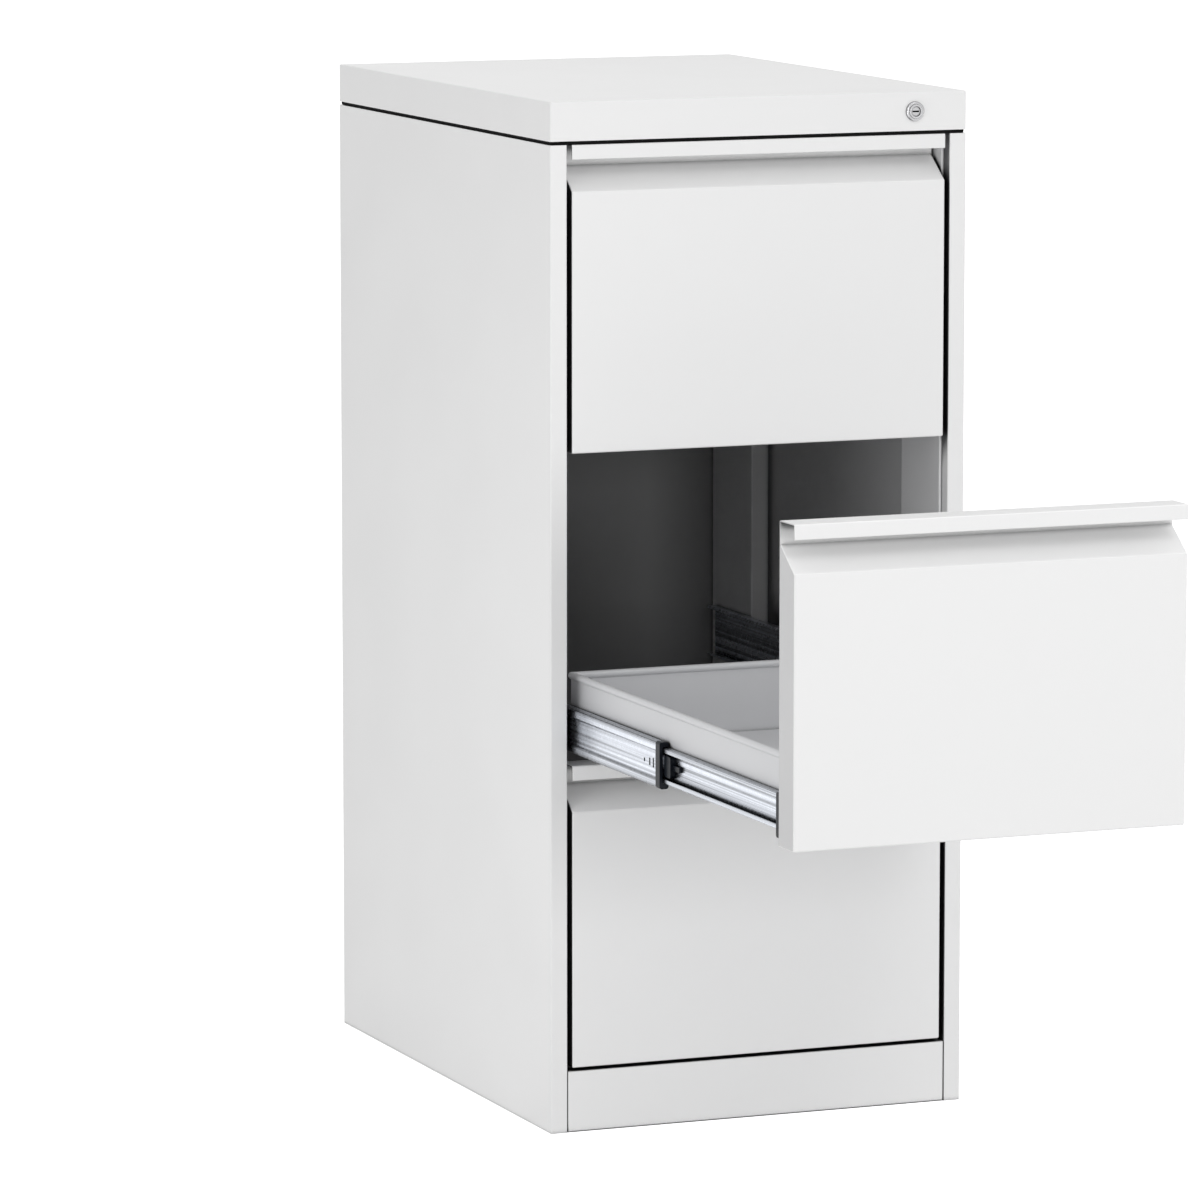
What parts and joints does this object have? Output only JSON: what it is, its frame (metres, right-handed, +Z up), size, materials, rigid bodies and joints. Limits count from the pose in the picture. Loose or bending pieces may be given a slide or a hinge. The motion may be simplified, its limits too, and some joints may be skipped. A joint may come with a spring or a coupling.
{
  "type": "index card cabinet",
  "caption": "Floor-standing steel index card cabinet with hooked-lip drawer fronts, full-extension drawers on ball-bearing runners and a central cylinder lock.",
  "frame": {"origin": "middle of the cabinet's footprint, on the floor, at the underside of the base rim", "axes": "+X to the right as seen from the front, -Y towards the user, the way the drawers pull out, +Z up"},
  "size_m": [0.435, 1.1263, 1],
  "materials": {
    "white_enamel": "white powder coat, fine texture, satin",
    "inner_enamel": "white powder coat inside the carcass",
    "tray_enamel": "light grey powder coat, satin",
    "zinc_steel": "bright zinc-plated roll-formed steel",
    "ball_steel": "polished balls in a steel strip, lightly greased",
    "zinc_plate": "zinc-plated sheet steel",
    "black_plastic": "moulded black nylon",
    "lock_chrome": "nickel-chromed die-cast",
    "rivet_aluminium": "plain blind rivet"
  },
  "bodies": {
    "cabinet": {"side_panel_left": "white_enamel", "side_panel_right": "white_enamel", "back_panel": "white_enamel", "back_rivets": "rivet_aluminium", "top_cover": "white_enamel", "top_frame": "inner_enamel", "plinth_panel": "white_enamel", "base_frame": "inner_enamel", "front_post_left": "inner_enamel", "front_post_right": "inner_enamel", "rear_post_left": "inner_enamel", "rear_post_right": "inner_enamel", "lock_housing": "lock_chrome", "lock_nut": "zinc_plate", "outer_runner_bottom_left": "zinc_steel", "outer_runner_bottom_right": "zinc_steel", "outer_runner_middle_left": "zinc_steel", "outer_runner_middle_right": "zinc_steel", "outer_runner_top_left": "zinc_steel", "outer_runner_top_right": "zinc_steel"},
    "drawer_bottom": {"front_panel_bottom": "white_enamel", "front_liner_bottom": "white_enamel", "tray_bottom": "tray_enamel", "runner_catches_bottom": "black_plastic", "release_levers_bottom": "black_plastic", "inner_runner_bottom_left": "zinc_steel", "inner_runner_bottom_right": "zinc_steel"},
    "slides_bottom": {"middle_runner_bottom_left": "zinc_steel", "middle_runner_bottom_right": "zinc_steel", "runner_stoppers_bottom": "black_plastic"},
    "outer_cages_bottom": {"outer_ball_cages_bottom": "ball_steel"},
    "inner_cages_bottom": {"inner_ball_cages_bottom": "ball_steel"},
    "drawer_middle": {"front_panel_middle": "white_enamel", "front_liner_middle": "white_enamel", "tray_middle": "tray_enamel", "runner_catches_middle": "black_plastic", "release_levers_middle": "black_plastic", "inner_runner_middle_left": "zinc_steel", "inner_runner_middle_right": "zinc_steel"},
    "slides_middle": {"middle_runner_middle_left": "zinc_steel", "middle_runner_middle_right": "zinc_steel", "runner_stoppers_middle": "black_plastic"},
    "outer_cages_middle": {"outer_ball_cages_middle": "ball_steel"},
    "inner_cages_middle": {"inner_ball_cages_middle": "ball_steel"},
    "drawer_top": {"front_panel_top": "white_enamel", "front_liner_top": "white_enamel", "tray_top": "tray_enamel", "runner_catches_top": "black_plastic", "release_levers_top": "black_plastic", "inner_runner_top_left": "zinc_steel", "inner_runner_top_right": "zinc_steel"},
    "slides_top": {"middle_runner_top_left": "zinc_steel", "middle_runner_top_right": "zinc_steel", "runner_stoppers_top": "black_plastic"},
    "outer_cages_top": {"outer_ball_cages_top": "ball_steel"},
    "inner_cages_top": {"inner_ball_cages_top": "ball_steel"},
    "lock_plug": {"lock_plug": "lock_chrome", "lock_cam": "zinc_plate"},
    "lock_bar": {"lock_bar": "zinc_plate"}
  },
  "joints": [
    {"name": "drawer_bottom_slide", "type": "slide", "parent": "cabinet", "child": "drawer_bottom", "axis": [0, -1, 0], "range_m": [0, 0.535]},
    {"name": "runner_bottom_slide", "type": "slide", "parent": "cabinet", "child": "slides_bottom", "axis": [0, -1, 0], "range_m": [0, 0.2675]},
    {"name": "outer_cage_bottom_slide", "type": "slide", "parent": "cabinet", "child": "outer_cages_bottom", "axis": [0, -1, 0], "range_m": [0, 0.13375]},
    {"name": "inner_cage_bottom_slide", "type": "slide", "parent": "cabinet", "child": "inner_cages_bottom", "axis": [0, -1, 0], "range_m": [0, 0.40125]},
    {"name": "drawer_middle_slide", "type": "slide", "parent": "cabinet", "child": "drawer_middle", "axis": [0, -1, 0], "range_m": [-0.535, 0]},
    {"name": "runner_middle_slide", "type": "slide", "parent": "cabinet", "child": "slides_middle", "axis": [0, -1, 0], "range_m": [-0.2675, 0]},
    {"name": "outer_cage_middle_slide", "type": "slide", "parent": "cabinet", "child": "outer_cages_middle", "axis": [0, -1, 0], "range_m": [-0.13375, 0]},
    {"name": "inner_cage_middle_slide", "type": "slide", "parent": "cabinet", "child": "inner_cages_middle", "axis": [0, -1, 0], "range_m": [-0.40125, 0]},
    {"name": "drawer_top_slide", "type": "slide", "parent": "cabinet", "child": "drawer_top", "axis": [0, -1, 0], "range_m": [0, 0.535]},
    {"name": "runner_top_slide", "type": "slide", "parent": "cabinet", "child": "slides_top", "axis": [0, -1, 0], "range_m": [0, 0.2675]},
    {"name": "outer_cage_top_slide", "type": "slide", "parent": "cabinet", "child": "outer_cages_top", "axis": [0, -1, 0], "range_m": [0, 0.13375]},
    {"name": "inner_cage_top_slide", "type": "slide", "parent": "cabinet", "child": "inner_cages_top", "axis": [0, -1, 0], "range_m": [0, 0.40125]},
    {"name": "lock_plug_turn", "type": "hinge", "parent": "cabinet", "child": "lock_plug", "pos_m": [0.1625, -0.2951, 0.981], "axis": [0, 1, 0], "range_deg": [0, 90]},
    {"name": "lock_bar_slide", "type": "slide", "parent": "cabinet", "child": "lock_bar", "axis": [0, 0, 1], "range_m": [0, 0.01131]}
  ],
  "couplings": [
    {"joint": "runner_bottom_slide", "follows": "drawer_bottom_slide", "ratio": 0.5},
    {"joint": "outer_cage_bottom_slide", "follows": "drawer_bottom_slide", "ratio": 0.25},
    {"joint": "inner_cage_bottom_slide", "follows": "drawer_bottom_slide", "ratio": 0.75},
    {"joint": "runner_middle_slide", "follows": "drawer_middle_slide", "ratio": 0.5},
    {"joint": "outer_cage_middle_slide", "follows": "drawer_middle_slide", "ratio": 0.25},
    {"joint": "inner_cage_middle_slide", "follows": "drawer_middle_slide", "ratio": 0.75},
    {"joint": "runner_top_slide", "follows": "drawer_top_slide", "ratio": 0.5},
    {"joint": "outer_cage_top_slide", "follows": "drawer_top_slide", "ratio": 0.25},
    {"joint": "inner_cage_top_slide", "follows": "drawer_top_slide", "ratio": 0.75},
    {"joint": "lock_plug_turn", "follows": "lock_bar_slide", "rad_per_m": 138.84}
  ]
}
